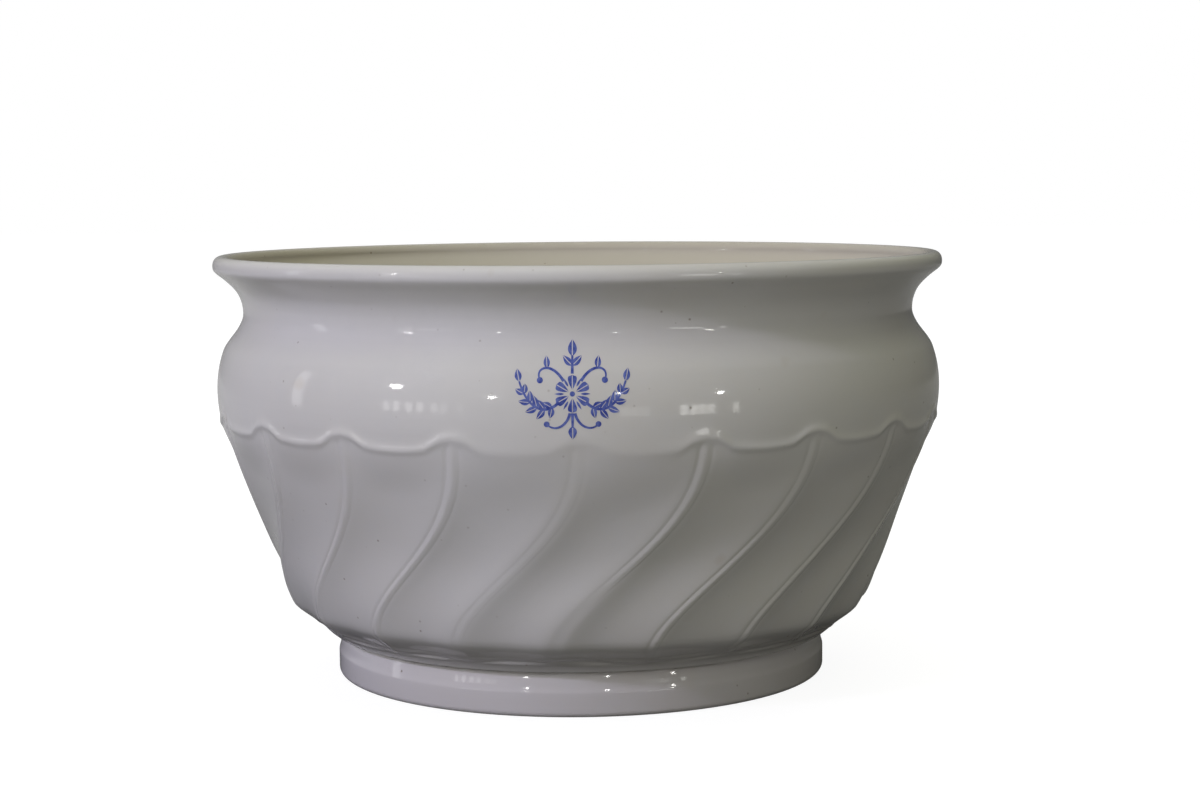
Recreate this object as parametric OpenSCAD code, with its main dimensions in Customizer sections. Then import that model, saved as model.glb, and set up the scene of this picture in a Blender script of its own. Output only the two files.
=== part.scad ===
// Chamber pot of glazed earthenware: a bowl with turned flutes under a scalloped edge,
// a plain shoulder, neck and round lip, a turned foot and a loop handle at the back.
// Millimetres, +Z up. The axis of the pot is Z, the foot stands on z = 0, the front is -Y.

/* [Bowl] */
// Height from the table to the top of the lip
pot_h = 133; // [125:1:142]
// Diameter over the lip
rim_d = 230; // [224:1:238]
// Diameter over the round shoulder
shoulder_d = 228.6; // [222:0.2:234]
// Diameter in the hollow of the neck
neck_d = 211.4; // [204:0.2:216]
// Diameter at the heel, where the flutes turn under
heel_d = 184.6; // [178:0.2:190]
// Thickness of the wall at the ridges
wall_t = 6.4; // [6:0.1:8]
// Thickness of the floor
floor_t = 5; // [4:0.5:9]
// Radius of the round lip
lip_r = 2.6; // [2.3:0.1:3]

/* [Flutes] */
// Number of flutes round the bowl
flutes = 20; // [16:1:24]
// Depth of the hollow of a flute
flute_depth = 1.7; // [0.8:0.1:2]
// Turn of a flute from top to bottom, degrees
flute_turn = 23; // [12:0.2:28]
// Height of the bead along a ridge
bead_h = 0.15; // [0:0.05:0.4]
// Depth of the thin groove before the bead
groove_depth = 0.25; // [0:0.05:0.5]
// Rise of the scalloped edge from mid-flute to ridge
scallop_rise = 4; // [2:0.5:6]
// Height of the rolled edge over the scallops
scallop_lip = 0.5; // [0.2:0.05:0.8]

/* [Foot] */
// Outer diameter of the foot
foot_d = 155.6; // [148:0.2:160]
// Height of the foot
foot_h = 13.4; // [11:0.2:15]
// Width of the foot where it stands
foot_w = 8; // [6:0.5:11]
// Radius of the standing edges
foot_edge_r = 1.8; // [1:0.1:2.4]
// Inward lean of the upper half of the foot
foot_lean = 1.2; // [0.4:0.1:2]

/* [Handle] */
// Reach of the handle from the neck
handle_reach = 47; // [38:1:56]
// Width of the handle at the middle of the loop
handle_w = 21; // [16:1:26]
// Thickness of the handle at the middle of the loop
handle_t = 11; // [9:0.5:13]
// Spread of the handle at its two roots
root_spread = 1.3; // [1.1:0.05:1.5]

/* [Joints] */
// Thickness of the slip that holds the pieces together
slip_t = 0.6; // [0.4:0.1:1]
// Border of slip left round a root of the handle
slip_border = 2.2; // [1:0.2:3]

/* [Hidden] */
$fa = 3;
$fs = 0.5;
rim_r = rim_d / 2;
shoulder_r = shoulder_d / 2;
neck_r = neck_d / 2;
heel_r = heel_d / 2;
foot_r = foot_d / 2;
base_z = foot_h + slip_t;
body_h = pot_h - base_z;
base_r = foot_r + 1.8;
heel_z = base_z + 0.089 * body_h;
scallop_z = base_z + 0.562 * body_h;
seam_z = scallop_z + scallop_rise + 5.2;
shoulder_z = base_z + 0.651 * body_h;
neck_z = base_z + 0.851 * body_h;
lip_z = pot_h - lip_r;
lip_c = rim_r - lip_r;
lip_join = 45;
flare_z = lip_z - lip_r * sin(lip_join);
flare_r = lip_c + lip_r * cos(lip_join) - 0.05;
floor_z = base_z + floor_t;
pitch = 360 / flutes;
core_gap = flute_depth + groove_depth + 1;
bury = 1.4;
foot_step_z = foot_h * 0.55;

// Outer line of the bowl at the level of the ridges, as height and radius
outer_line = [
    [base_z, base_r],
    [base_z + 0.43 * (heel_z - base_z), base_r + 0.45 * (heel_r - base_r)],
    [heel_z, heel_r],
    [base_z + 0.302 * body_h, heel_r + 0.41 * (shoulder_r - heel_r)],
    [base_z + 0.538 * body_h, shoulder_r - 2],
    [shoulder_z, shoulder_r],
    [shoulder_z + 0.505 * (neck_z - shoulder_z), neck_r + 0.756 * (shoulder_r - neck_r)],
    [shoulder_z + 0.82 * (neck_z - shoulder_z), neck_r + 0.163 * (shoulder_r - neck_r)],
    [neck_z, neck_r],
    [neck_z + 0.41 * (lip_z - neck_z), neck_r + 0.183 * (rim_r - neck_r)],
    [neck_z + 0.742 * (lip_z - neck_z), neck_r + 0.683 * (rim_r - neck_r)],
    [flare_z, flare_r]
];

function smooth(t) = let (u = max(0, min(1, t))) u * u * (3 - 2 * u);

// Smooth curve through a line of points
function slope(p, i) =
    let (a = max(i - 1, 0), b = min(i + 1, len(p) - 1))
    (p[b][1] - p[a][1]) / (p[b][0] - p[a][0]);
function span(p, z, i = 0) = i >= len(p) - 2 || z < p[i + 1][0] ? i : span(p, z, i + 1);
function along(p, z) =
    let (
        i = span(p, z),
        h = p[i + 1][0] - p[i][0],
        t = (z - p[i][0]) / h,
        lift = smooth(t)
    )
    p[i][1] * (1 - lift) + p[i + 1][1] * lift
        + h * t * (1 - t) * ((1 - t) * slope(p, i) - t * slope(p, i + 1));
function outer_r(z) = along(outer_line, z);
function steps(from, to, n) = [for (i = [0:n]) from + (to - from) * i / n];
high_zs = steps(seam_z, flare_z, 24);

// Inside of the bowl: flat floor, round corner, then the wall thinning to the lip
corner_h = 16;
function wall_at(z) = 2 * lip_r + (wall_t - 2 * lip_r) * smooth((lip_z - z) / (lip_z - scallop_z));
function inner_r(z) =
    let (
        c = min(1, (z - floor_z) / corner_h),
        round_in = 1 - sqrt(max(0, 1 - (1 - c) * (1 - c)))
    )
    outer_r(z) - wall_at(z) - corner_h * 1.25 * round_in;
corner_zs = [for (a = [0:9:90]) floor_z + corner_h * (1 - cos(a))];
inner_zs = concat(corner_zs, steps(floor_z + corner_h + 6, lip_z - 2, 20));

// Turn of the flutes at a height
turn_top = scallop_z + scallop_rise + 1.7;
function turn_at(z) =
    let (t = (turn_top - z) / (turn_top - base_z - 6.6))
    -flute_turn * smooth(pow(max(0, t), 1.45));

// Places across one flute: groove, bead and shallow groove on the ridge, then the hollow
across = [-0.052, -0.026, 0, 0.026, 0.052, 0.15, 0.32, 0.5, 0.68, 0.85];
function bump(x, width) = exp(-pow(x / width, 2));
function ridge_form(f) =
    bead_h * bump(f, 0.024) - groove_depth * (bump(f + 0.052, 0.022) + 0.6 * bump(f - 0.052, 0.022));
function hollow(f) =
    let (
        part = max(0, min(1, ((f < 0 ? f + 1 : f) - 0.04) / 0.92)),
        u = 2 * pow(part, 0.85) - 1
    )
    pow(1 - u * u, 1.1);

// Scalloped edge: a shallow bow between the ridges and a round hump on each ridge
function scallop_at(f) =
    let (e = 1 - abs(2 * abs(f) - 1))
    scallop_z + scallop_rise * (0.38 * pow(1 - e, 1.5) + 0.62 * exp(-pow(e / 0.36, 4)));

// Rows up the fluted wall: part of the way up the flute, then height over the scalloped edge
flute_low = base_z + 0.06 * body_h;
flute_rows = [0, 0.05, 0.12, 0.2, 0.29, 0.38, 0.47, 0.56, 0.65, 0.74, 0.82, 0.89, 0.945, 0.985];
edge_rows = [0.6, 1.7, 3.4];
low_rows = [bury / 2, 2.6, 4.9];
row_count = len(low_rows) + len(flute_rows) + len(edge_rows) + 2;
function row_z(i, f) =
    let (a = len(low_rows), b = a + len(flute_rows), c = b + len(edge_rows))
    i < a ? base_z + low_rows[i]
    : i < b ? flute_low + flute_rows[i - a] * (scallop_at(f) - flute_low)
    : i < c ? scallop_at(f) + edge_rows[i - b]
    : i == c ? seam_z - 0.5
    : seam_z + bury;
function relief(z, f) =
    let (
        over = z - scallop_at(f),
        low = smooth((z - base_z - 1.5) / 3.6),
        ridge = smooth(-over / 3.4) * ridge_form(f),
        sunk = smooth(-over / 13) * flute_depth * hollow(f)
    )
    low * (ridge - sunk) + scallop_lip * bump(over - 0.6, over < 0.6 ? 1.4 : 1.8);
function wall_point(k, f, i, out) =
    let (
        z = row_z(i, f),
        end = i == 0 || i == row_count - 1 ? 0.3 : 0.04,
        r = outer_r(z) + relief(z, f) - end + out,
        a = pitch * (k + f) + turn_at(z) - 90
    )
    [r * cos(a), r * sin(a), z];

// Skin of quads between two lists of rings of n points
function quads(rows, n, closed) =
    [for (i = [0:rows - 2], j = [0:closed ? n - 1 : n - 2], half = [0, 1])
        let (
            a = i * n + j,
            b = i * n + (j + 1) % n
        )
        half == 0 ? [a, a + n, b + n] : [a, b + n, b]];

// Fluted wall of the bowl, a closed sleeve whose back is buried in the core
module fluted_wall() {
    n = flutes * len(across);
    outside = [for (i = [0:row_count - 1], k = [0:flutes - 1], f = across) wall_point(k, f, i, 0)];
    back_zs = steps(seam_z + bury, base_z + low_rows[0], 4);
    back = [for (z = back_zs, k = [0:flutes - 1], f = across)
        let (
            r = outer_r(z) - core_gap - 1,
            a = pitch * (k + f) + turn_at(z) - 90
        )
        [r * cos(a), r * sin(a), z]];
    points = concat(outside, back);
    rows = row_count + len(back_zs);
    last = rows - 1;
    polyhedron(points, concat(
        quads(rows, n, true),
        [for (j = [0:n - 1]) let (m = (j + 1) % n) [last * n + j, j, m]],
        [for (j = [0:n - 1]) let (m = (j + 1) % n) [last * n + j, m, last * n + m]]));
}

// Piece of the fluted surface behind the lower root of the handle, filled in to the axis
module fluted_patch(out) {
    mid = (180 - turn_at(low_root_z)) / pitch;
    ks = [for (k = [floor(mid) - 1:ceil(mid)]) k];
    fs = across;
    i0 = len(low_rows) + 1;
    i1 = row_count - len(edge_rows) - 4;
    rows = i1 - i0 + 1;
    n = len(ks) * len(fs) + 1;
    skin = [for (i = [i0:i1], c = [0:n - 1])
        c == n - 1 ? [0, 0, row_z(i, 0.5)] : wall_point(ks[floor(c / len(fs))], fs[c % len(fs)], i, out)];
    top = (rows - 1) * n;
    polyhedron(skin, concat(
        quads(rows, n, true),
        [for (j = [0:n - 3]) [n - 1, j, j + 1]],
        [for (j = [0:n - 3]) [top + n - 1, top + j + 1, top + j]]));
}

// Core of the bowl: floor, smooth inside, shoulder, neck and lip
module core() {
    low_zs = steps(base_z + bury, seam_z, 16);
    rotate_extrude() {
        polygon(concat(
            [[0, base_z], [base_r, base_z], [outer_r(base_z + bury), base_z + bury]],
            [for (z = low_zs) [outer_r(z) - core_gap, z]],
            [for (z = high_zs) [outer_r(z), z]],
            [[lip_c, lip_z]],
            [for (i = [len(inner_zs) - 1:-1:0]) [inner_r(inner_zs[i]), inner_zs[i]]],
            [[0, floor_z]]));
        translate([lip_c, lip_z])
            circle(lip_r);
    }
}

// Solid inside the plain neck and shoulder, grown by out
module neck_solid(out) {
    zs = [for (i = [0:len(high_zs) - 3]) high_zs[i]];
    rotate_extrude()
        polygon(concat([[0, zs[0]]], [for (z = zs) [outer_r(z) + out, z]], [[0, zs[len(zs) - 1]]]));
}

// Line of the handle in the plane x = 0, as reach and height
high_root_z = neck_z - 3.5;
low_root_z = base_z + 0.312 * body_h;
handle_line = [
    [neck_r - 4, high_root_z - 2],
    [neck_r + handle_reach * 0.62, high_root_z + 12],
    [neck_r + handle_reach * 1.38, high_root_z - 4],
    [neck_r + handle_reach * 1.2, low_root_z + 12],
    [outer_r(low_root_z) + handle_reach * 0.6, low_root_z - 8],
    [outer_r(low_root_z) - 7, low_root_z + 1]
];
function bend(p, t) = len(p) == 1 ? p[0]
    : bend([for (i = [0:len(p) - 2]) p[i] * (1 - t) + p[i + 1] * t], t);
function heading(p, t) =
    let (v = bend(p, min(1, t + 0.01)) - bend(p, max(0, t - 0.01)))
    v / norm(v);

// Handle as a strap of oval section swept along its line
module handle_strap() {
    rings = 30;
    sides = 20;
    points = [for (i = [0:rings - 1], s = [0:sides - 1])
        let (
            t = i / (rings - 1),
            c = bend(handle_line, t),
            d = heading(handle_line, t),
            grow = 1 + (root_spread - 1) * pow(abs(2 * t - 1), 3),
            a = 360 * s / sides,
            x = handle_w / 2 * grow * sign(cos(a)) * pow(abs(cos(a)), 0.85),
            y = handle_t / 2 * grow * sign(sin(a)) * pow(abs(sin(a)), 0.85)
        )
        [x, c[0] - d[1] * y, c[1] + d[0] * y]];
    last = (rings - 1) * sides;
    polyhedron(points, concat(
        [for (f = quads(rings, sides, true)) [f[0], f[2], f[1]]],
        [for (j = [1:sides - 2]) [0, j, j + 1]],
        [for (j = [1:sides - 2]) [last, last + j + 1, last + j]]));
}

// Oval rod that bounds the slip at a root of the handle
module root_rod(z, tilt) {
    rx = handle_w * root_spread / 2 + slip_border;
    ry = handle_t * root_spread / 2 + slip_border;
    translate([0, outer_r(z), z])
        rotate([-90 + tilt, 0, 0])
            scale([1, ry / rx, 1])
                cylinder(r = rx, h = 30, center = true, $fn = 96);
}

// Bowl pressed in one piece: floor, fluted wall, shoulder, neck and lip
module bowl() {
    color("#e4dfd6")
        union() {
            core();
            fluted_wall();
        }
}

// Turned foot: upright below, leaning in above, hollow inside
module foot_ring() {
    e = foot_edge_r;
    inner = foot_r - foot_w;
    color("#dcd6cc")
        rotate_extrude() {
            polygon([
                [inner + e, 0],
                [foot_r - e, 0],
                [foot_r - e, e],
                [foot_r, e],
                [foot_r, foot_step_z],
                [foot_r - foot_lean, foot_h],
                [inner - 2, foot_h],
                [inner, e],
                [inner + e, e]
            ]);
            translate([foot_r - e, e])
                circle(e);
            translate([inner + e, e])
                circle(e);
        }
}

// Slip between the foot and the bowl, squeezed out into the corner as a small fillet
module foot_slip_joint() {
    top_r = foot_r - foot_lean;
    inner = foot_r - foot_w - 2;
    color("#cfc8bb")
        rotate_extrude()
            polygon([
                [inner + 0.6, foot_h],
                [top_r, foot_h],
                [base_r - 0.3, base_z],
                [inner - 0.8, base_z]
            ]);
}

// Loop handle for one hand at the back, its roots cut to the bowl less the slip
module handle() {
    color("#e4dfd6")
        difference() {
            handle_strap();
            neck_solid(slip_t);
            fluted_patch(slip_t);
        }
}

// Slip under the upper root of the handle
module handle_upper_slip_joint() {
    color("#cfc8bb")
        difference() {
            intersection() {
                root_rod(high_root_z, 18);
                neck_solid(slip_t);
            }
            neck_solid(0);
        }
}

// Slip under the lower root of the handle
module handle_lower_slip_joint() {
    color("#cfc8bb")
        difference() {
            intersection() {
                root_rod(low_root_z, 0);
                fluted_patch(slip_t);
            }
            fluted_patch(0);
        }
}

bowl();
foot_ring();
foot_slip_joint();
handle();
handle_upper_slip_joint();
handle_lower_slip_joint();
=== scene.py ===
"""Looks of the chamber pot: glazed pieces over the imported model, a blue print, a studio and a camera."""
import math

import bpy
from mathutils import Matrix, Vector, noise


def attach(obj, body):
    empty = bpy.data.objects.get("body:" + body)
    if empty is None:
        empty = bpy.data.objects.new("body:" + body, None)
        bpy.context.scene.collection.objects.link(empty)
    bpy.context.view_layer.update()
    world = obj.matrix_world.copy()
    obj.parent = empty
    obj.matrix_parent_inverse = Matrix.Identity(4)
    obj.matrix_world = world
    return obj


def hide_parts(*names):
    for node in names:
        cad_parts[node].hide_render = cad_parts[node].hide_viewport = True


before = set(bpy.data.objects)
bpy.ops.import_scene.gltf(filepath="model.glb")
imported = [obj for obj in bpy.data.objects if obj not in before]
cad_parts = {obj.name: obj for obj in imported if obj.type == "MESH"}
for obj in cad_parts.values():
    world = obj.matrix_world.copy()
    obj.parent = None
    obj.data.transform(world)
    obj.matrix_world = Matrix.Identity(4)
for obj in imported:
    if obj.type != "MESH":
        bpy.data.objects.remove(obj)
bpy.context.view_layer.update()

# Sizes of the pot in millimetres, as in the part's source. The lip, the handle and the beads
# are a hair smaller here, so that the uneven skin stays inside the part's box.
POT_H, RIM_R, SHOULDER_R, NECK_R, HEEL_R = 132.99, 114.87, 114.3, 105.7, 92.3
FOOT_R, FOOT_H, FOOT_W, FOOT_EDGE, FOOT_LEAN, SLIP = 77.8, 13.4, 8.0, 1.8, 1.2, 0.6
WALL, FLOOR, LIP_R = 6.4, 5.0, 2.6
CORNER_H, CORNER_W = 16, 20
FLUTES, DEPTH, TURN = 20, 1.7, 23.0
BEAD, GROOVE, RISE, EDGE = 0.11, 0.25, 4.0, 0.5
REACH, HANDLE_W, HANDLE_T, SPREAD = 47.0, 21.0, 10.97, 1.3

BASE_Z = FOOT_H + SLIP
BODY_H = POT_H - BASE_Z
BASE_R = FOOT_R + 1.8
HEEL_Z = BASE_Z + 0.089 * BODY_H
SCALLOP_Z = BASE_Z + 0.562 * BODY_H
SEAM_Z = SCALLOP_Z + RISE + 5.2
SHOULDER_Z = BASE_Z + 0.651 * BODY_H
NECK_Z = BASE_Z + 0.851 * BODY_H
LIP_Z = POT_H - LIP_R
LIP_C = RIM_R - LIP_R
LIP_JOIN = math.radians(45)
FLARE_Z = LIP_Z - LIP_R * math.sin(LIP_JOIN)
FLOOR_Z = BASE_Z + FLOOR
FLUTE_LOW = BASE_Z + 0.06 * BODY_H
HEEL_EDGE_Z = BASE_Z + 4.3
TURN_TOP, TURN_LOW, TURN_EASE = SCALLOP_Z + RISE + 1.7, BASE_Z + 6.6, 1.45
PITCH = 360 / FLUTES

# Height and radius along the bowl's outside
OUTER_LINE = [
    (BASE_Z, BASE_R),
    (BASE_Z + 0.43 * (HEEL_Z - BASE_Z), BASE_R + 0.45 * (HEEL_R - BASE_R)),
    (HEEL_Z, HEEL_R),
    (BASE_Z + 0.302 * BODY_H, HEEL_R + 0.41 * (SHOULDER_R - HEEL_R)),
    (BASE_Z + 0.538 * BODY_H, SHOULDER_R - 2),
    (SHOULDER_Z, SHOULDER_R),
    (SHOULDER_Z + 0.505 * (NECK_Z - SHOULDER_Z), NECK_R + 0.756 * (SHOULDER_R - NECK_R)),
    (SHOULDER_Z + 0.82 * (NECK_Z - SHOULDER_Z), NECK_R + 0.163 * (SHOULDER_R - NECK_R)),
    (NECK_Z, NECK_R),
    (NECK_Z + 0.41 * (LIP_Z - NECK_Z), NECK_R + 0.183 * (RIM_R - NECK_R)),
    (NECK_Z + 0.742 * (LIP_Z - NECK_Z), NECK_R + 0.683 * (RIM_R - NECK_R)),
    (FLARE_Z, LIP_C + LIP_R * math.cos(LIP_JOIN)),
]

# How crisp each ridge was left by the mould and the glaze: 1 is crisp, 0 is worn smooth
CRISP = {-4: 1.0, -3: 1.0, -2: 0.95, -1: 0.9, 0: 0.32, 1: 0.75, 2: 0.75, 3: 0.85, 4: 0.95}
# One ridge at the front is worn smooth toward its lower end, about this height
WORN_RIDGE, WORN_Z, WORN_SPAN = 1, 44.0, 28
# Glaze that filled the deepest part of each hollow, in millimetres
GLAZE_FILL = 0.18
# Bead and grooves of a ridge, as shares of the pitch, and the dip that is left of a worn ridge
BEAD_W, GROOVE_AT, GROOVE_W, RIGHT_GROOVE = 0.026, 0.054, 0.028, 0.6
WORN_DIP, WORN_W = 0.25, 0.07
# The roll of the lip is fuller below than above: by how much, how far down and over what width
SWELL, SWELL_DOWN, SWELL_W = 0.65, 2.6, 1.5
# The relief sets in over the base; its lines and hollows fade out under the scalloped edge
RELIEF_START, RELIEF_SPAN, LINE_FADE, HOLLOW_FADE, SOFT_FADE = 1.5, 3.6, 3.4, 13, 7
# Heights of the ware's unevenness, of the turning lines and of the pooled glaze
WOBBLE, FINE_WOBBLE, BROAD_LINES, FINE_LINES = 0.14, 0.05, 0.035, 0.008
POOL_EDGE, POOL_DIP, POOL_LINE = 0.16, 0.28, 0.12


# Form of the bowl

def smooth(t):
    """Eases from 0 to 1."""
    u = min(1.0, max(0.0, t))
    return u * u * (3 - 2 * u)


def bump(x, width):
    """Round hump of height 1 about x = 0."""
    return math.exp(-(x / width) ** 2)


def slope(i):
    """Slope of the outside at point i of its line."""
    a, b = max(i - 1, 0), min(i + 1, len(OUTER_LINE) - 1)
    return (OUTER_LINE[b][1] - OUTER_LINE[a][1]) / (OUTER_LINE[b][0] - OUTER_LINE[a][0])


def outer_r(z):
    """Radius of the bowl's outside at the level of the ridges."""
    i = 0
    while i < len(OUTER_LINE) - 2 and z >= OUTER_LINE[i + 1][0]:
        i += 1
    (z0, r0), (z1, r1) = OUTER_LINE[i], OUTER_LINE[i + 1]
    h = z1 - z0
    t = (z - z0) / h
    s = t * t * (3 - 2 * t)
    return r0 * (1 - s) + r1 * s + h * t * (1 - t) * ((1 - t) * slope(i) - t * slope(i + 1))


def inner_r(z):
    """Radius of the bowl's inside: a round corner at the floor, then the wall thinning to the lip."""
    c = min(1.0, (z - FLOOR_Z) / CORNER_H)
    round_in = 1 - math.sqrt(max(0.0, 1 - (1 - c) ** 2))
    wall = 2 * LIP_R + (WALL - 2 * LIP_R) * smooth((LIP_Z - z) / (LIP_Z - SCALLOP_Z))
    return outer_r(z) - wall - CORNER_W * round_in


def turn_at(z):
    """Degrees by which the flutes have turned at height z."""
    t = max(0.0, (TURN_TOP - z) / (TURN_TOP - TURN_LOW))
    return -TURN * smooth(t ** TURN_EASE)


def around(k):
    """Number of a ridge counted from the front, up to half way round to each side."""
    return (k + FLUTES // 2) % FLUTES - FLUTES // 2


def crisp(k, z):
    """How crisp ridge k is at height z; those behind vary from one to the next."""
    k = around(k)
    sharp = CRISP.get(k, 0.45 + 0.2 * math.sin(k * 2.4))
    if k == WORN_RIDGE:
        sharp *= smooth((z - WORN_Z) / WORN_SPAN + 0.5)
    return sharp


def edge_softness(k, f):
    """Near 1 at the front, where the glaze ran over the scalloped edge, and 0 elsewhere."""
    return math.exp(-((around(k) + f) / 0.95) ** 4)


def scallop_at(f):
    """Height of the scalloped edge at share f of a flute: a shallow bow with a hump on each ridge."""
    e = 1 - abs(2 * f - 1)
    return SCALLOP_Z + RISE * (0.38 * (1 - e) ** 1.5 + 0.62 * math.exp(-(e / 0.36) ** 4))


def hollow(f, keen):
    """Depth of a flute's hollow; its ends at the ridges are sharp where keen is 1 and eased where it is 0."""
    part = min(1.0, max(0.0, (f - 0.04) / 0.92))
    cut = (1 - (2 * part ** 0.85 - 1) ** 2) ** 1.1
    eased = (0.5 - 0.5 * math.cos(2 * math.pi * f ** 0.9)) ** 0.9
    return (DEPTH - GLAZE_FILL) * (keen * cut + (1 - keen) * eased)


def ridge_line(g, sharp):
    """Low bead between two thin grooves, g pitches from the ridge, fading to a soft dip where it is worn."""
    grooves = bump(g + GROOVE_AT, GROOVE_W) + RIGHT_GROOVE * bump(g - GROOVE_AT, GROOVE_W)
    return sharp * (BEAD * bump(g, BEAD_W) - GROOVE * grooves) - (1 - sharp) * WORN_DIP * bump(g, WORN_W)


def rolled_edge(over, soft):
    """Rolled edge along the scallops, over millimetres above them, lower and wider where it is soft."""
    middle = 0.6
    width = (1.2 if over < middle else 1.5) * (1 + 0.9 * soft)
    return EDGE * (1 - 0.55 * soft) * bump(over - middle, width)


def relief(z, k, f):
    """Hollows, beads, grooves and the rolled edge, out from the level of the ridges."""
    left, right = crisp(k, z), crisp(k + 1, z)
    keen = min(1.0, (left + (right - left) * smooth(f)) / 0.6)
    soft = edge_softness(k, f)
    over = z - scallop_at(f)
    low = smooth((z - BASE_Z - RELIEF_START) / RELIEF_SPAN)
    g, sharp = (f, left) if f < 0.5 else (f - 1, right)
    line = smooth(-over / LINE_FADE) * ridge_line(g, sharp)
    cut = smooth(-over / (HOLLOW_FADE + SOFT_FADE * soft)) * hollow(f, keen)
    return low * (line - cut) + rolled_edge(over, soft)


def wobble(a, z):
    """Small unevenness of hand-made ware."""
    p = Vector((1.6 * math.cos(a), 1.6 * math.sin(a), z * 0.02))
    return WOBBLE * noise.noise(p) + FINE_WOBBLE * noise.noise(p * 3.1)


def turning(z):
    """Shallow lines left by the turning tool round the neck and under the lip."""
    near = smooth((z - NECK_Z + 9) / 5) * smooth((FLARE_Z - z) / 2)
    broad = noise.noise(Vector((3.3, 7.1, z * 0.5)))
    fine = noise.noise(Vector((1.7, 2.9, z * 1.1)))
    return near * (BROAD_LINES * broad + FINE_LINES * fine)


def lip_swell(z):
    """Extra radius under the lip, where its roll is fuller."""
    return SWELL * bump(LIP_Z - z - SWELL_DOWN, SWELL_W)


def pooled(a, z):
    """Wavy lines of glaze that pooled under the heel, where the flutes end over the foot."""
    wave = 0.45 * math.sin(7 * a + 1.0) + 0.35 * math.sin(12 * a + 2.2) + 0.2 * math.sin(23 * a)
    edge = HEEL_EDGE_Z + wave
    second = HEEL_EDGE_Z - 1.5 - 0.6 * wave
    rolls = POOL_EDGE * bump(z - edge, 0.5) - POOL_DIP * bump(z - edge + 0.9, 0.5)
    return rolls + POOL_LINE * bump(z - second, 0.35)


def outside_r(a, z, k, f):
    """Radius of the finished outside at angle a and height z, on flute k at share f across it."""
    lift = relief(z, k, f) if z < SEAM_Z else 0.0
    if BASE_Z + 0.3 < z < HEEL_Z:
        lift += pooled(a, z) * smooth((z - BASE_Z - 0.3) / 0.8)
    return outer_r(z) + lift + turning(z) + lip_swell(z) + wobble(a, z) * smooth((z - BASE_Z) / 4)


def surface_r(a, z):
    """Radius that the handle and the print are set on, without the finest lines."""
    at = (math.degrees(a) + 90 - turn_at(z)) / PITCH
    k = math.floor(at)
    lift = relief(z, int(k), at - k) if z < SEAM_Z else 0.0
    return outer_r(z) + lift + wobble(a, z)


# Meshes

def mesh_piece(name, points, faces, material, smooth_shade=True):
    """One object from points in millimetres."""
    mesh = bpy.data.meshes.new(name)
    mesh.from_pydata([(x / 1000, y / 1000, z / 1000) for x, y, z in points], [], faces)
    mesh.polygons.foreach_set("use_smooth", [smooth_shade] * len(mesh.polygons))
    mesh.materials.append(material)
    mesh.update()
    piece = bpy.data.objects.new(name, mesh)
    bpy.context.scene.collection.objects.link(piece)
    return piece


def grid_faces(rows, n, looped=False):
    """Faces between rings of n points each; looped joins the last ring to the first."""
    faces = []
    for i in range(rows if looped else rows - 1):
        up = (i + 1) % rows
        for j in range(n):
            m = (j + 1) % n
            faces.append((i * n + j, i * n + m, up * n + m, up * n + j))
    return faces


def end_faces(rows, n):
    """Faces that close the first and the last ring."""
    last = (rows - 1) * n
    return [tuple(reversed(range(n))), tuple(last + j for j in range(n))]


def facing_out(points, faces):
    """Faces of a closed skin, turned round if they look inward."""
    volume = 0.0
    for face in faces:
        first = Vector(points[face[0]])
        for a, b in zip(face[1:], face[2:]):
            volume += first.dot(Vector(points[a]).cross(Vector(points[b])))
    return faces if volume > 0 else [tuple(reversed(face)) for face in faces]


def settle(piece, node):
    """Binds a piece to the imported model."""
    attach(piece, "root")
    if node:
        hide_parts(node)


# Materials

GLAZE_IOR = 1.4
WARE, FOOT_WARE, SLIP_WARE = (0.575, 0.565, 0.545), (0.57, 0.55, 0.545), (0.53, 0.515, 0.5)
SPECK_BROWN, FAINT_BROWN = (0.16, 0.115, 0.075, 1.0), (0.42, 0.36, 0.28, 1.0)
PRINT_DEEP, PRINT_PALE = (0.03, 0.05, 0.26, 1), (0.13, 0.17, 0.44, 1)
# Heights in metres where painted shade sets in and fades out in the cove, and the radius where the
# darker inside tone on the floor fades out
COVE_SHADE_IN, COVE_SHADE_OUT, INSIDE_TONE_OUT = (0.0145, 0.0165), (0.0185, 0.0235), (0.074, 0.079)
# How fine the patterns are, in repeats a metre
BROAD_TONE, FINE_TONE, FAINT_SPOTS, SPECK_CELLS = 9.0, 130.0, 70.0, 260.0
TURNED_LINES, PEEL, PRINT_GRAIN = 420.0, 210.0, 620.0


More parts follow.
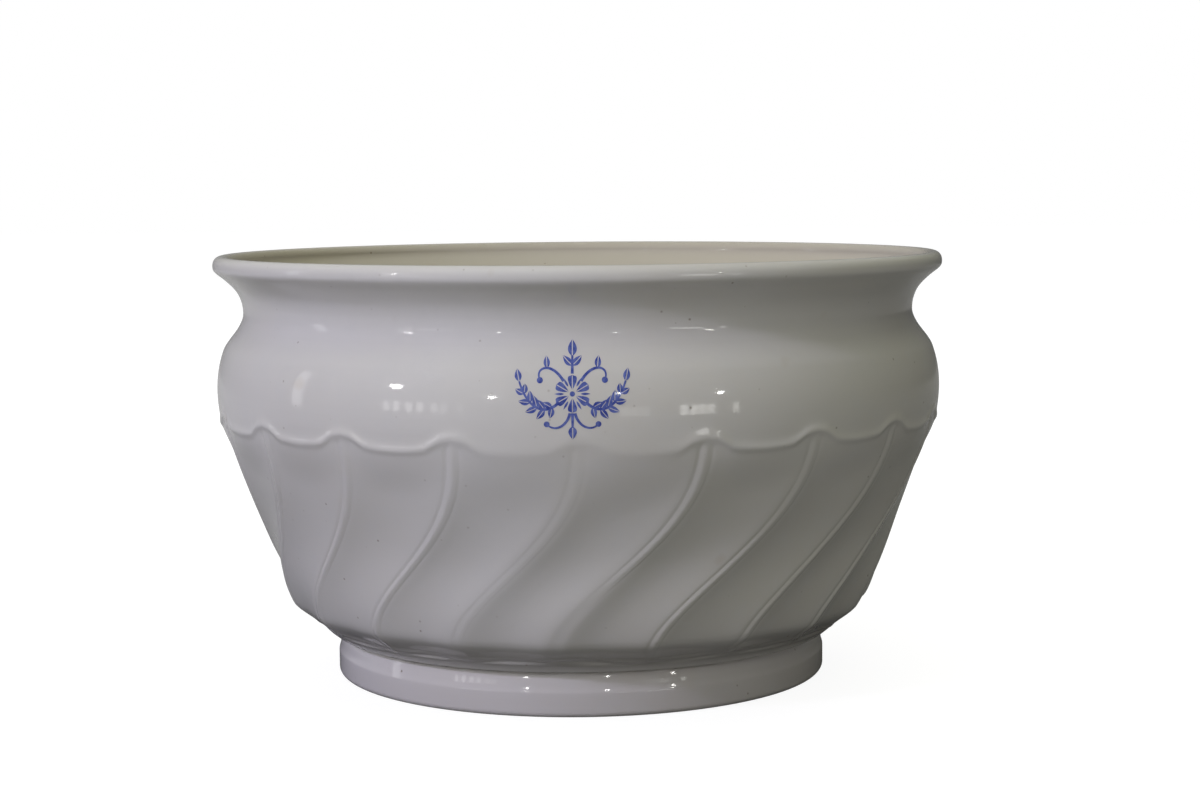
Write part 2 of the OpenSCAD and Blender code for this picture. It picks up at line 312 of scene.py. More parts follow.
class Graph:
    """Nodes of one material or world, added and joined in few words."""

    def __init__(self, owner):
        owner.use_nodes = True
        self.nodes, self.links = owner.node_tree.nodes, owner.node_tree.links

    def feed(self, target, value):
        """Joins a socket to another one, or sets it to a plain value."""
        if isinstance(value, bpy.types.NodeSocket):
            self.links.new(value, target)
        else:
            target.default_value = value

    def add(self, kind, inputs=None, **settings):
        node = self.nodes.new("ShaderNode" + kind)
        for name, value in settings.items():
            setattr(node, name, value)
        for name, value in (inputs or {}).items():
            self.feed(node.inputs[name], value)
        return node

    def number(self, operation, *values):
        return self.add("Math", dict(enumerate(values)), operation=operation).outputs[0]

    def vector(self, operation, *values):
        return self.add("VectorMath", dict(enumerate(values)), operation=operation).outputs

    def band(self, value, low, high, out_low=0.0, out_high=1.0, eased=False):
        """Value from low to high, spread from out_low to out_high and held there beyond."""
        ends = {"Value": value, "From Min": low, "From Max": high, "To Min": out_low, "To Max": out_high}
        way = "SMOOTHSTEP" if eased else "LINEAR"
        return self.add("MapRange", ends, interpolation_type=way).outputs["Result"]

    def mix(self, factor, a, b):
        """Colour a where the factor is 0 and b where it is 1."""
        node = self.add("Mix", {"Factor": factor}, data_type="RGBA")
        for target, value in zip([s for s in node.inputs if s.type == "RGBA"], (a, b)):
            self.feed(target, value)
        return next(s for s in node.outputs if s.type == "RGBA")

    def cloud(self, place, scale, detail=2.0, rough=0.5):
        """Soft random pattern."""
        inputs = {"Vector": place, "Scale": scale, "Detail": detail, "Roughness": rough}
        return self.add("TexNoise", inputs).outputs["Fac"]

    def raised(self, height, strength, distance, below=None, invert=False):
        """Normal of a shallow pattern laid over the normal below."""
        inputs = {"Height": height, "Strength": strength, "Distance": distance}
        if below is not None:
            inputs["Normal"] = below
        return self.add("Bump", inputs, invert=invert).outputs["Normal"]


def tinted(tint, *shares):
    """Colour of the ware times one share for each channel."""
    return tuple(t * s for t, s in zip(tint, shares)) + (1.0,)


def inside_share(graph, place, apart):
    """1 where the surface faces the pot's axis, less on the floor near it, and 0 outside."""
    outward = graph.add("CombineXYZ", {"X": apart["X"], "Y": apart["Y"]}).outputs["Vector"]
    facing = graph.vector("DOT_PRODUCT", outward, place["Normal"])["Value"]
    radius = graph.vector("LENGTH", outward)["Value"]
    walls = graph.band(facing, -0.07, 0.0, 1.0, 0.0)
    floor = graph.band(radius, *INSIDE_TONE_OUT, 0.4, 0.0)
    return graph.number("MAXIMUM", walls, floor)


def speck_share(graph, where, amount):
    """Small specks of uneven strength in a few of many cells."""
    cells = graph.add("TexVoronoi", {"Vector": where, "Scale": SPECK_CELLS}).outputs
    chosen = graph.add("SeparateColor", {"Color": cells["Color"]}).outputs["Red"]
    sparse = graph.band(chosen, 0.78, 1.0, 0.0, 0.9)
    core = graph.band(cells["Distance"], 0.02, 0.13, 1.0, 0.0)
    return graph.number("MULTIPLY", graph.number("MULTIPLY", core, sparse), amount)


def glaze_relief(graph, where, height, rings, spots):
    """Turning lines round the axis, the glaze's orange peel and pinholes, all very shallow."""
    along_axis = graph.add("CombineXYZ", {"Z": height}).outputs["Vector"]
    lines = graph.raised(graph.cloud(along_axis, TURNED_LINES, 3.0), 0.05 * rings, 0.0006)
    peel = graph.raised(graph.cloud(where, PEEL), 0.035, 0.0005, lines)
    return graph.raised(spots, 0.3, 0.0003, peel, invert=True)


def glaze_material(name, tint, speck=1.0, rings=1.0, darker_inside=False):
    """Glossy off-white glaze with soft changes of tone, painted shade in the cove, specks and turning lines.
    """
    mat = bpy.data.materials.new(name)
    graph = Graph(mat)
    place = graph.add("TexCoord").outputs
    where = place["Object"]
    apart = graph.add("SeparateXYZ", {"Vector": where}).outputs
    height = apart["Z"]
    fine = graph.cloud(where, FINE_TONE, 4.0, 0.6)
    spots = speck_share(graph, where, speck)

    broad = graph.band(graph.cloud(where, BROAD_TONE, 3.0), 0.35, 0.68)
    colour = graph.mix(broad, tinted(tint, 1, 1, 1), tinted(tint, 0.93, 0.915, 0.88))
    colour = graph.mix(graph.band(fine, 0.45, 0.75, 0.0, 0.55), colour, tinted(tint, 0.95, 0.955, 0.96))
    # Darker, yellower tone on the inside walls and on the floor near the axis.
    if darker_inside:
        colour = graph.mix(inside_share(graph, place, apart), colour, tinted(tint, 0.82, 0.775, 0.67))
    # Painted shade: the glaze is darkened in the cove under the heel.
    above, below = graph.band(height, *COVE_SHADE_IN), graph.band(height, *COVE_SHADE_OUT, 0.5, 0.0)
    colour = graph.mix(graph.number("MULTIPLY", above, below), colour, tinted(tint, 0.3, 0.28, 0.27))
    colour = graph.mix(spots, colour, SPECK_BROWN)
    faint = graph.band(graph.cloud(where, FAINT_SPOTS, 1.0), 0.74, 0.8, 0.0, 0.35 * speck)
    colour = graph.mix(faint, colour, FAINT_BROWN)

    shader = graph.nodes["Principled BSDF"].inputs
    graph.feed(shader["Base Color"], colour)
    graph.feed(shader["Roughness"], graph.band(fine, 0.3, 0.8, 0.055, 0.085))
    graph.feed(shader["IOR"], GLAZE_IOR)
    graph.feed(shader["Normal"], glaze_relief(graph, where, height, rings, spots))
    return mat


def print_material():
    """Cobalt blue under the glaze, uneven as a transfer print is."""
    mat = bpy.data.materials.new("print_blue")
    graph = Graph(mat)
    tone = graph.cloud(graph.add("TexCoord").outputs["Object"], PRINT_GRAIN, 3.0)
    ramp = graph.add("ValToRGB", {"Fac": tone})
    for stop, at, colour in zip(ramp.color_ramp.elements, (0.32, 0.72), (PRINT_DEEP, PRINT_PALE)):
        stop.position, stop.color = at, colour
    shader = graph.nodes["Principled BSDF"].inputs
    graph.feed(shader["Base Color"], ramp.outputs["Color"])
    graph.feed(shader["Roughness"], 0.06)
    graph.feed(shader["IOR"], GLAZE_IOR)
    return mat


# Bowl

# Places across one flute, close together on the ridge
ACROSS = [i * 0.0075 for i in range(-12, 12)] + [0.1, 0.13, 0.17, 0.22]
ACROSS += [0.28 + 0.07 * i for i in range(8)] + [0.83, 0.87]
# Rings of the skin: under the base, below and along the flutes, over the scalloped edge and above it
BASE_RINGS, FLOOR_RINGS = (4.0, 40.0, 70.0), (55.0, 40.0, 25.0, 10.0, 3.0)
HEEL_ROWS, FLUTE_ROWS, BELOW_EDGE = 28, 44, 3.6
EDGE_ROWS = (-3.0, -2.4, -1.9, -1.5, -1.1, -0.8, -0.5, -0.2, 0.1, 0.4, 0.8, 1.2, 1.7, 2.2, 2.8, 3.5)
SEAM_ROWS, NECK_ROWS, LIP_ROWS, INSIDE_ROWS, CORNER_ROWS = 4, 70, 20, 50, 12
LIP_SWEEP, INSIDE_TOP = math.radians(250), LIP_Z - 2.4


def level(z):
    """Height of a level ring."""
    return lambda f: z


def flat(r):
    """Radius of a ring of one size."""
    return lambda a, z, k, f: r


def inside(a, z, k, f):
    """Radius of a ring on the smooth inside."""
    return inner_r(z)


def lip_ring(b):
    """Ring of the round lip, at angle b up from its outermost line."""
    def radius(a, z, k, f):
        swell = lip_swell(z) if b < math.pi / 2 else 0.0
        return LIP_C + LIP_R * math.cos(b) + wobble(a, FLARE_Z) + swell
    return level(LIP_Z + LIP_R * math.sin(b)), radius


def outside_heights():
    """Heights of the rings up the outside; they follow the scalloped edge where they are near it."""
    top = SEAM_Z + 0.4
    rows = [level(BASE_Z + (FLUTE_LOW - BASE_Z) * i / HEEL_ROWS) for i in range(HEEL_ROWS)]
    for i in range(FLUTE_ROWS + 1):
        rows.append(lambda f, t=i / FLUTE_ROWS: FLUTE_LOW + t * (scallop_at(f) - BELOW_EDGE - FLUTE_LOW))
    for d in EDGE_ROWS:
        rows.append(lambda f, d=d: scallop_at(f) + d)
    for i in range(1, SEAM_ROWS + 1):
        rows.append(lambda f, t=i / SEAM_ROWS: (scallop_at(f) + EDGE_ROWS[-1]) * (1 - t) + top * t)
    rows += [level(top + (FLARE_Z - top) * i / NECK_ROWS) for i in range(1, NECK_ROWS + 1)]
    return rows


def bowl_rings():
    """Height and radius of each ring: under the base, up the outside, over the lip, down the inside."""
    rings = [(level(BASE_Z), flat(r)) for r in BASE_RINGS]
    rings += [(height, outside_r) for height in outside_heights()]
    rings += [lip_ring(-LIP_JOIN + LIP_SWEEP * i / LIP_ROWS) for i in range(1, LIP_ROWS)]
    corner_top = FLOOR_Z + CORNER_H
    for i in range(INSIDE_ROWS):
        rings.append((level(INSIDE_TOP + (corner_top - INSIDE_TOP) * i / INSIDE_ROWS), inside))
    for i in range(CORNER_ROWS + 1):
        q = math.radians(90 - 90 * i / CORNER_ROWS)
        rings.append((level(FLOOR_Z + CORNER_H * (1 - math.cos(q))), inside))
    return rings + [(level(FLOOR_Z), flat(r)) for r in FLOOR_RINGS]


def bowl_piece(material):
    """The whole bowl as one closed skin, whose columns of points follow the turn of the flutes."""
    columns = [(k, f) for k in range(FLUTES) for f in ACROSS]
    rings = bowl_rings()
    points = []
    for height, radius in rings:
        for k, f in columns:
            share = f % 1.0
            z = height(share)
            a = math.radians(PITCH * (k + f) + turn_at(z) - 90)
            r = radius(a, z, k if f >= 0 else k - 1, share)
            points.append((r * math.cos(a), r * math.sin(a), z))
    rows, n = len(rings), len(columns)
    return mesh_piece("bowl_glazed", points, grid_faces(rows, n) + end_faces(rows, n), material)


# Foot

# Rounded bands over the foot's step, as shares of its height and of its lean; each holds its own glint
FOOT_BANDS = (
    (0.02, 0.03), (0.1, 0.13), (0.22, 0.27), (0.36, 0.39),
    (0.5, 0.48), (0.66, 0.61), (0.84, 0.8), (1.0, 1.0),
)
FOOT_IN = FOOT_R - FOOT_W
FOOT_BACK = FOOT_LEAN + 0.32
FOOT_STEP = FOOT_H * 0.55


def turned(name, line, material, n=288):
    """Ring turned round the axis from a closed line of radius and height."""
    points = []
    for r, z in line:
        for j in range(n):
            a = 2 * math.pi * j / n
            points.append((r * math.cos(a), r * math.sin(a), z))
    return mesh_piece(name, points, facing_out(points, grid_faces(len(line), n, looped=True)), material)


def arc(cx, cy, r, start, end, n=8):
    """Points of an arc between two angles in degrees."""
    angles = [math.radians(start + (end - start) * i / n) for i in range(n + 1)]
    return [(cx + r * math.cos(a), cy + r * math.sin(a)) for a in angles]


def foot_piece(material):
    """Turned foot: upright below, a step and two leaning bands above, hollow inside."""
    e, step = FOOT_EDGE, FOOT_STEP
    line = arc(FOOT_R - e, e, e, -90, 0)
    line += [(FOOT_R, step - 1.2), (FOOT_R, step - 0.5), (FOOT_R - 0.02, step - 0.15)]
    line += [(FOOT_R - FOOT_BACK * back, step + (FOOT_H - step) * up) for up, back in FOOT_BANDS]
    line += [(FOOT_IN - 2, FOOT_H), (FOOT_IN - 1.4, FOOT_H * 0.7), (FOOT_IN - 0.6, FOOT_H * 0.4)]
    line += arc(FOOT_IN + e, e, e, 180, 270)
    return turned("foot_glazed", line, material)


def foot_slip_piece(material):
    """Slip between foot and bowl, squeezed out as a small fillet."""
    top = FOOT_R - FOOT_BACK
    line = [
        (FOOT_IN - 1.6, FOOT_H),
        (top - 0.2, FOOT_H - 0.25),
        (top + 0.25, FOOT_H + 0.05),
        (top + 0.9, FOOT_H + 0.45),
        (BASE_R + 0.1, BASE_Z + 0.25),
        (BASE_R - 0.5, BASE_Z + 0.3),
        (FOOT_IN - 2.2, BASE_Z + 0.1),
    ]
    return turned("foot_slip", line, material)


# Handle

HIGH_Z = NECK_Z - 3.5
LOW_Z = BASE_Z + 0.312 * BODY_H
# Distance behind the axis and height of the corners that the handle's curve leans on
HANDLE_LINE = [
    (NECK_R - 4, HIGH_Z - 2),
    (NECK_R + REACH * 0.62, HIGH_Z + 12),
    (NECK_R + REACH * 1.38, HIGH_Z - 4),
    (NECK_R + REACH * 1.2, LOW_Z + 12),
    (outer_r(LOW_Z) + REACH * 0.6, LOW_Z - 8),
    (outer_r(LOW_Z) - 7, LOW_Z + 1),
]
# Places along the curve where the strap ends, and the places whose directions its roots follow
HIGH_END, LOW_END, HIGH_AIM, LOW_AIM = 0.075, 0.915, 0.04, 0.94
STRAP_ROWS, STRAP_POINTS = 60, 40
# The roots go from just over the wall to a little inside it, in millimetres
ROOT_OVER, ROOT_IN = 0.2, -1.6
# Fillet of slip round a root: share of the strap's size and height over the wall; the last ring is hidden
FILLET = (
    (1.22, -0.5), (1.2, 0.05), (1.13, 0.2), (1.07, 0.5),
    (1.03, 1.1), (1.005, 2.2), (0.97, 2.6), (0.93, -0.6),
)


def bend(t):
    """Point at share t of the handle's curve."""
    p = list(HANDLE_LINE)
    while len(p) > 1:
        p = [(a[0] * (1 - t) + b[0] * t, a[1] * (1 - t) + b[1] * t) for a, b in zip(p, p[1:])]
    return p[0]


def heading(t):
    """Direction of the handle's curve at share t."""
    a, b = bend(max(0.0, t - 0.01)), bend(min(1.0, t + 0.01))
    d = (b[0] - a[0], b[1] - a[1])
    h = math.hypot(*d)
    return d[0] / h, d[1] / h


def rounded(v):
    """Flattens a circle's side into that of the strap's full oval."""
    return math.copysign(abs(v) ** 0.85, v)


def section(t, grow=1.0):
    """Ring of points round the strap at share t of its curve."""
    c, d = bend(t), heading(t)
    g = (1 + (SPREAD - 1) * abs(2 * t - 1) ** 3) * grow
    ring = []
    for s in range(STRAP_POINTS):
        a = 2 * math.pi * s / STRAP_POINTS
        x = HANDLE_W / 2 * g * rounded(math.cos(a))
        y = HANDLE_T / 2 * g * rounded(math.sin(a))
        ring.append(Vector((x, c[0] - d[1] * y, c[1] + d[0] * y)))
    return ring


def drop_to_wall(p, d, out):
    """Moves p along d until it lies out millimetres from the bowl's outside."""
    step = Vector((0, d[0], d[1]))
    for _ in range(400):
        gap = math.hypot(p.x, p.y) - surface_r(math.atan2(p.y, p.x), p.z) - out
        if abs(gap) < 0.01:
            break
        p = p + step * gap * 0.8
    return p


def root_ring(t, d, grow, out):
    """Ring round the strap, moved along d to out millimetres from the wall."""
    return [drop_to_wall(p, d, out) for p in section(t, grow)]


def handle_piece(high_d, low_d, material):
    """Strap from inside the wall at the upper root to inside the wall at the lower one."""
    rings = [root_ring(HIGH_END, high_d, 1.0, out) for out in (ROOT_IN, ROOT_OVER)]
    rings += [section(HIGH_END + (LOW_END - HIGH_END) * i / STRAP_ROWS) for i in range(STRAP_ROWS + 1)]
    rings += [root_ring(LOW_END, low_d, 1.0, out) for out in (ROOT_OVER, ROOT_IN)]
    points = [tuple(p) for ring in rings for p in ring]
    faces = grid_faces(len(rings), STRAP_POINTS) + end_faces(len(rings), STRAP_POINTS)
    return mesh_piece("handle_glazed", points, facing_out(points, faces), material)


def root_slip_piece(name, t, d, material):
    """Fillet of slip round one root of the handle."""
    points = [tuple(p) for grow, out in FILLET for p in root_ring(t, d, grow, out)]
    faces = grid_faces(len(FILLET), STRAP_POINTS, looped=True)
    return mesh_piece(name, points, facing_out(points, faces), material)


# Blue print: a flower with a spray of leaves to each side

PRINT_ANGLE, PRINT_Z, PRINT_CLEAR = -0.9, 98.2, 0.07
STEM_W, STEM_TIP, CURL_W, CURL_TIP = 0.42, 0.26, 0.4, 0.24
# Length and angle of the pairs of leaves along a side stem, from the flower outward
SIDE_LEAVES = ((3.0, 60), (3.4, 58), (3.4, 54), (3.2, 48), (2.7, 42))


def ribbon(points, halves):
    """Left and right edge of a strip with these half widths along a line of points."""
    left, right = [], []
    for i, ((x, y), w) in enumerate(zip(points, halves)):
        x0, y0 = points[max(i - 1, 0)]
        x1, y1 = points[min(i + 1, len(points) - 1)]
        dx, dy = x1 - x0, y1 - y0
        h = math.hypot(dx, dy)
        left.append((x - dy / h * w, y + dx / h * w))
        right.append((x + dy / h * w, y - dx / h * w))
    return left, right


def stroke(points, w0, w1):
    """Strip whose half width runs from w0 to w1."""
    last = len(points) - 1
    return ribbon(points, [w0 + (w1 - w0) * i / last for i in range(last + 1)])


def leaf(x, y, angle, length, width, curl=0.0, split=0.0, blunt=False, steps=12):
    """Leaf, or blunt petal, as one strip, or as two with a pale vein of half width split between them."""
    c, s = math.cos(math.radians(angle)), math.sin(math.radians(angle))
    spine, halves = [], []
    for i in range(steps + 1):
        t = i / steps
        px, py = length * t, curl * t * t
        spine.append((x + px * c - py * s, y + px * s + py * c))
        if blunt:
            share = 1.25 * t ** 0.8 * math.sqrt(1 - t ** 5)
        else:
            share = math.sin(math.pi * (t * 0.97 + 0.015) ** 0.8)
        halves.append(width / 2 * share)
    left, right = ribbon(spine, halves)
    if not split:
        return [(left, right)]
    vein_left, vein_right = ribbon(spine, [min(h, split) for h in halves])
    return [(left, vein_left), (vein_right, right)]


def curve(*corners, n=24):
    """Points of a smooth curve that leans on four corners."""
    points = []
    for i in range(n + 1):
        t = i / n
        weights = ((1 - t) ** 3, 3 * t * (1 - t) ** 2, 3 * t * t * (1 - t), t ** 3)
        points.append(tuple(sum(w * p[axis] for w, p in zip(weights, corners)) for axis in (0, 1)))
    return points


def dot(x, y, r, n=16):
    """Round dot as one strip."""
    half = [(r * math.cos(math.pi * i / n), r * math.sin(math.pi * i / n)) for i in range(n + 1)]
    return [(x + dx, y - dy) for dx, dy in half], [(x + dx, y + dy) for dx, dy in half]


def flower():
    """Six petals, a thin leaf between each two, and a round middle."""
    strips = []
    for i in range(6):
        a = 90 + 60 * i
        b = a + 30
        petal, between = math.radians(a), math.radians(b)
        strips += leaf(1.15 * math.cos(petal), 1.15 * math.sin(petal), a, 3.9, 2.9, 0.0, 0.13, True)
        strips += leaf(2.3 * math.cos(between), 2.3 * math.sin(between), b, 2.6, 0.62)
    return strips + [dot(0, 0, 0.72)]


def side_spray(side):
    """Leafy stem, a curl with a berry above it and another below, to the right (1) or left (-1)."""
    stem = curve((side * 3.6, -2.2), (side * 7.5, -6.2), (side * 12.2, -4.0), (side * 14.6, 3.4))
    strips = [stroke(stem, STEM_W, STEM_TIP)]
    for i, (length, turn) in enumerate(SIDE_LEAVES):
        at = 4 + 4 * i
        (x0, y0), (x1, y1) = stem[at - 1], stem[at + 1]
        along = math.degrees(math.atan2(y1 - y0, x1 - x0))
        for way in (1, -1):
            strips += leaf(*stem[at], along + way * turn, length, 1.75, way * -0.4, 0.1)
    strips += leaf(*stem[-1], 90 - side * 14, 3.5, 1.9, 0.0, 0.12)
    curl = curve((side * 2.4, 3.4), (side * 5.4, 8.6), (side * 10.4, 7.4), (side * 9.0, 4.0))
    strips += [stroke(curl, CURL_W, CURL_TIP), dot(side * 8.9, 3.7, 0.85)]
    strips += leaf(*curl[11], 90 - side * 8, 3.3, 1.8, 0.0, 0.12)
    tail = curve((side * 0.7, -5.2), (side * 1.4, -8.6), (side * 4.6, -10.4), (side * 6.8, -8.4))
    return strips + [stroke(tail, CURL_W, CURL_TIP), dot(side * 7.0, -8.2, 0.8)]


def middle_stems():
    """Stem with three leaves over the flower, and one with a single leaf under it."""
    strips = [stroke([(0, 5.4 + 0.6 * i) for i in range(9)], STEM_W, 0.3)]
    strips += leaf(0, 10.0, 90, 4.4, 2.6, 0.0, 0.15)
    for way in (1, -1):
        strips += leaf(0, 7.6, 90 - way * 52, 3.7, 1.9, way * 0.4, 0.12)
    strips.append(stroke([(0, -5.2 - 0.5 * i) for i in range(9)], STEM_W, 0.3))
    return strips + leaf(0, -8.8, -90, 3.6, 2.3, 0.0, 0.14)


def print_piece(material):
    """Wraps the print onto the front of the shoulder, just clear of the glaze."""
    points, faces = [], []

    def wrap(x, y):
        z = PRINT_Z + y
        a = math.radians(PRINT_ANGLE - 90) + x / outer_r(PRINT_Z)
        r = surface_r(a, z) + PRINT_CLEAR
        points.append((r * math.cos(a), r * math.sin(a), z))
        return len(points) - 1

    for left, right in flower() + side_spray(1) + side_spray(-1) + middle_stems():
        pairs = []
        for p, q in zip(left, right):
            at = wrap(*p)
            pairs.append((at, at if math.dist(p, q) < 0.01 else wrap(*q)))
        for (a, b), (c, d) in zip(pairs, pairs[1:]):
            corners = tuple(dict.fromkeys((b, d, c, a)))
            if len(corners) > 2:
                faces.append(corners)
    return mesh_piece("print_sprig", points, faces, material)


# Studio

# Share of the floor's white that is its own near the pot; the lamps add the rest
FLOOR_GLOW, FLOOR_GREY, FLOOR_HALF, FLOOR_DROP = 0.92, (0.16, 0.16, 0.16, 1), 6000, -0.1
# Distances in metres over which the floor comes into reflections, and its glow rises to white
FLOOR_SEEN, FLOOR_WHITE = (0.08, 0.55), (0.14, 0.5)
WHITE, AMBIENT, AMBIENT_LEVEL = (1, 1, 1, 1), (1.0, 0.985, 0.95, 1), 0.03
# Direction of the bright side of the studio, to the left, and the levels that reflections see
# of its dark and its bright side
LIT_SIDE, DARK_LEVEL, BRIGHT_LEVEL = (-0.9, -0.3, 0.32), 0.09, 0.6
# Point that the lamps look at, in metres
AIM = Vector((0, 0, 0.075))

# Name, azimuth from the front to the right, elevation, distance, size, watts and colour.
# The soft lights only light the pot; the lamps and panes also show as glints.
SOFT_LIGHTS = (
    ("key", -48, 28, 1.6, (0.14, 0.08), 7.5, (0.77, 0.75, 1.0)),
    ("key_soft", -50, 26, 1.6, (0.9, 0.9), 5.2, (0.8, 0.78, 1.0)),
    ("front_soft", -10, 20, 1.8, (1.0, 1.0), 4.8, (0.98, 1.0, 0.93)),
    ("right_soft", 45, 46, 1.8, (0.9, 0.9), 1.7, (0.98, 1.0, 0.74)),
    ("top_soft", 0, 82, 1.8, (1.6, 1.6), 13.8, (0.98, 1.0, 0.76)),
    ("back_right", 156, 30, 1.8, (1.2, 1.2), 9.0, (1.0, 0.99, 0.95)),
    ("back_left", -163, 30, 1.8, (1.2, 1.2), 9.0, (0.96, 0.96, 1.0)),
)
WINDOW = ("window_left", -93, 3, 1.5, (0.13, 0.8), 0.7, (0.98, 0.985, 1.0))
LAMPS = (
    ("lamp_left", -56, 17, 1.4, (0.1, 0.055), 1.0, (1.0, 0.98, 0.97)),
    ("lamp_middle_left", -25, 12, 1.4, (0.06, 0.05), 0.45, (1.0, 0.98, 0.96)),
    ("lamp_middle", 11.6, 15.4, 1.4, (0.04, 0.04), 0.28, (1.0, 0.98, 0.96)),
    ("lamp_right", 42, 12, 1.4, (0.05, 0.05), 0.36, (1.0, 0.98, 0.95)),
)
# Azimuth and watts of each pane of two rows of windows
PANES_RIGHT = (
    (13.0, 0.08), (16.0, 0.08), (19.0, 0.07), (30.5, 0.24),
    (33.3, 0.24), (36.0, 0.22), (38.7, 0.2), (46.5, 0.18),
)
PANES_LEFT = (
    (-58, 0.13), (-54.5, 0.15), (-50.5, 0.14), (-47, 0.12),
    (-42.5, 0.09), (-39.5, 0.07), (-34, 0.05),
)
# Name, elevation, size, colour and panes of each row, and their distance
PANE_ROWS = (
    ("pane_right", 0.5, (0.055, 0.2), (1.0, 0.99, 0.95), PANES_RIGHT),
    ("pane_left", 2, (0.05, 0.2), (1.0, 0.98, 0.97), PANES_LEFT),
)
PANE_DISTANCE = 1.5


def studio_rays(graph, way, near=None):
    """Camera rays, reflections, and how bright reflections see the studio from its lit side to its dark side.

    way is the direction looked in, and near, if given, dims reflections of what lies close to the pot.
    """
    ray = graph.add("LightPath").outputs
    reflected = graph.number("MAXIMUM", ray["Is Glossy Ray"], ray["Is Transmission Ray"])
    aim = graph.vector("NORMALIZE", way)["Vector"]
    facing = graph.vector("DOT_PRODUCT", aim, LIT_SIDE)["Value"]
    bright = graph.band(facing, -0.7, 0.9, DARK_LEVEL, BRIGHT_LEVEL, eased=True)
    if near is not None:
        bright = graph.number("MULTIPLY", bright, near)
    return ray["Is Camera Ray"], reflected, graph.number("MULTIPLY", bright, reflected)


def stage_floor():
    """Pale floor that fades to white away from the pot and keeps the pot's shadow near it."""
    mat = bpy.data.materials.new("floor_white")
    graph = Graph(mat)
    place = graph.add("TexCoord").outputs["Object"]
    far = graph.vector("LENGTH", place)["Value"]
    camera_ray, _, reflected = studio_rays(graph, place, graph.band(far, *FLOOR_SEEN, eased=True))
    glow = graph.band(far, *FLOOR_WHITE, FLOOR_GLOW, 1.0, eased=True)
    shader = graph.nodes["Principled BSDF"].inputs
    graph.feed(shader["Base Color"], FLOOR_GREY)
    graph.feed(shader["Roughness"], 0.8)
    graph.feed(shader["Specular IOR Level"], 0.0)
    graph.feed(shader["Emission Color"], WHITE)
    graph.feed(shader["Emission Strength"], graph.number("MULTIPLY_ADD", glow, camera_ray, reflected))
    h = FLOOR_HALF
    corners = [(x, y, FLOOR_DROP) for x, y in ((-h, -h), (h, -h), (h, h), (-h, h))]
    mesh_piece("studio_floor", corners, [(0, 1, 2, 3)], mat, False)


def area_light(name, azimuth, elevation, distance, size, watts, colour, glossy=True, shape="RECTANGLE"):
    """Area light that looks at the pot."""
    a, e = math.radians(azimuth), math.radians(elevation)
    way = Vector((math.sin(a) * math.cos(e), -math.cos(a) * math.cos(e), math.sin(e)))
    light = bpy.data.lights.new(name, "AREA")
    light.shape = shape
    light.size, light.size_y = size
    light.energy = watts
    light.color = colour
    lamp = bpy.data.objects.new(name, light)
    lamp.location = AIM + way * distance
    lamp.rotation_euler = (-way).to_track_quat("-Z", "Y").to_euler()
    lamp.visible_glossy = glossy
    lamp.visible_camera = False
    bpy.context.scene.collection.objects.link(lamp)


def studio_lights():
    """Soft lights, the window, the small lamps and the rows of panes."""
    for light in SOFT_LIGHTS:
        area_light(*light, glossy=False)
    area_light(*WINDOW)
    for lamp in LAMPS:
        area_light(*lamp, shape="ELLIPSE")
    for row, elevation, size, colour, panes in PANE_ROWS:
        for i, (azimuth, watts) in enumerate(panes):
            area_light("%s_%d" % (row, i), azimuth, elevation, PANE_DISTANCE, size, watts, colour)


def studio_world():
    """White for the camera, graded for reflections, and a faint even light on the pot."""
    world = bpy.data.worlds.new("studio")
    bpy.context.scene.world = world
    graph = Graph(world)
    graph.nodes.clear()
    view = graph.add("TexCoord").outputs["Generated"]
    camera_ray, mirrored, graded = studio_rays(graph, view)
    seen_level = graph.number("MAXIMUM", camera_ray, graded)
    seen = graph.add("Background", {"Color": WHITE, "Strength": seen_level}).outputs["Background"]
    lit = graph.add("Background", {"Color": AMBIENT, "Strength": AMBIENT_LEVEL}).outputs["Background"]
    shown = graph.number("MAXIMUM", camera_ray, mirrored)
    blend = graph.add("MixShader", {"Fac": shown, 1: lit, 2: seen}).outputs["Shader"]
    graph.add("OutputWorld", {"Surface": blend})


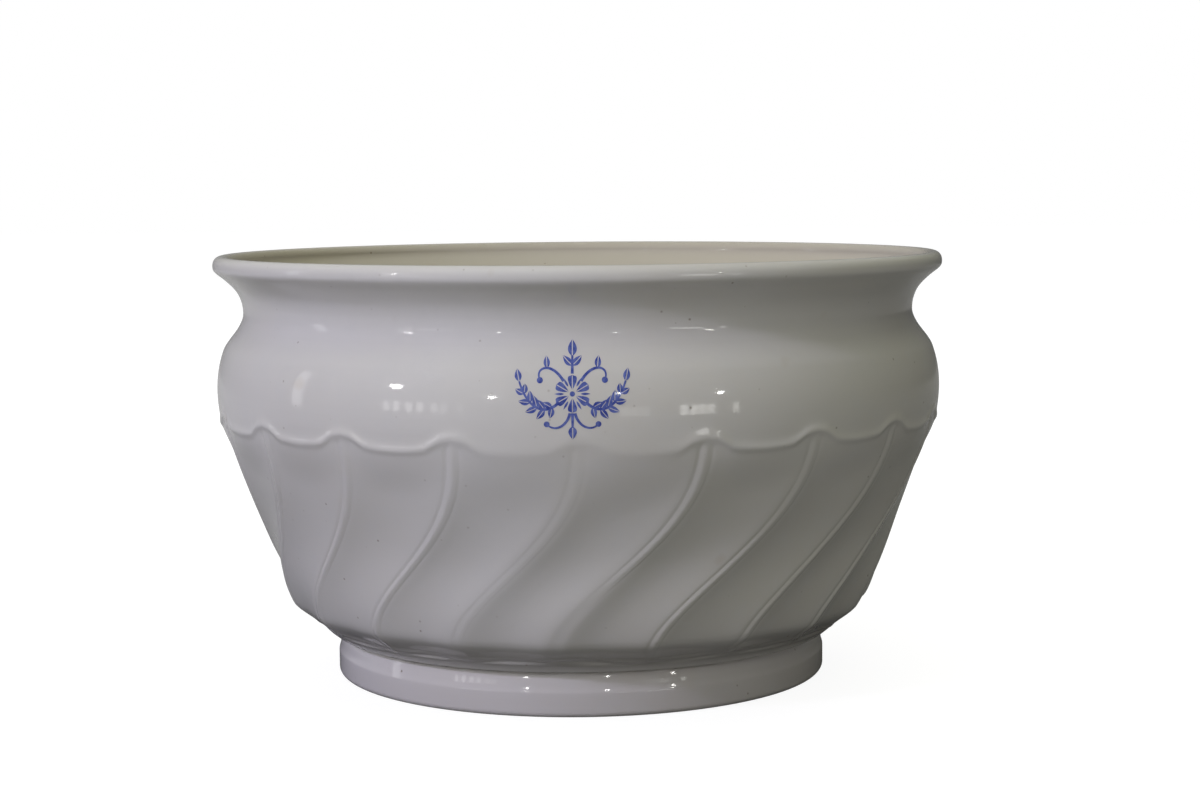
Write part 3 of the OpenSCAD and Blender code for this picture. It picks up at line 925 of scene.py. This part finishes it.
# Camera as fitted to the photo's outline: angles in degrees, place in metres,
# focal length and width in pixels of the photo, sensor in millimetres
PITCH_DOWN, YAW, ROLL = (math.radians(v) for v in (5.561, 0.524, -0.459))
EYE = (0.0, -0.7362, 0.1571)
FOCAL, PHOTO_W, SENSOR = 2306.1, 1200, 36.0


def photo_camera():
    """Camera at the photo's angle."""
    level_way = (math.sin(YAW) * math.cos(PITCH_DOWN), math.cos(YAW) * math.cos(PITCH_DOWN))
    forward = Vector((*level_way, -math.sin(PITCH_DOWN)))
    right = Vector((math.cos(YAW), -math.sin(YAW), 0))
    up = right.cross(forward)
    side = right * math.cos(ROLL) + up * math.sin(ROLL)
    above = up * math.cos(ROLL) - right * math.sin(ROLL)
    lens = bpy.data.cameras.new("camera")
    lens.sensor_width = SENSOR
    lens.lens = SENSOR * FOCAL / PHOTO_W
    lens.clip_start = 0.01
    camera = bpy.data.objects.new("camera", lens)
    rows = [(side[i], above[i], -forward[i], EYE[i]) for i in range(3)]
    camera.matrix_world = Matrix((*rows, (0, 0, 0, 1)))
    bpy.context.scene.collection.objects.link(camera)
    bpy.context.scene.camera = camera


glaze = glaze_material("glaze", WARE, darker_inside=True)
foot_glaze = glaze_material("foot_glaze", FOOT_WARE, 1.4, 0.6)
handle_glaze = glaze_material("handle_glaze", WARE, 0.8, 0.0)
slip_glaze = glaze_material("slip_glaze", SLIP_WARE, 1.2, 0.0)

high_way = tuple(-v for v in heading(HIGH_AIM))
low_way = heading(LOW_AIM)
settle(bowl_piece(glaze), "bowl")
settle(foot_piece(foot_glaze), "foot_ring")
settle(foot_slip_piece(slip_glaze), "foot_slip_joint")
settle(handle_piece(high_way, low_way, handle_glaze), "handle")
upper_slip = root_slip_piece("handle_slip_upper", HIGH_END, high_way, slip_glaze)
lower_slip = root_slip_piece("handle_slip_lower", LOW_END, low_way, slip_glaze)
settle(upper_slip, "handle_upper_slip_joint")
settle(lower_slip, "handle_lower_slip_joint")
settle(print_piece(print_material()), None)

stage_floor()
studio_lights()
studio_world()
photo_camera()
bpy.context.scene.view_settings.view_transform = "Standard"

bpy.context.view_layer.update()
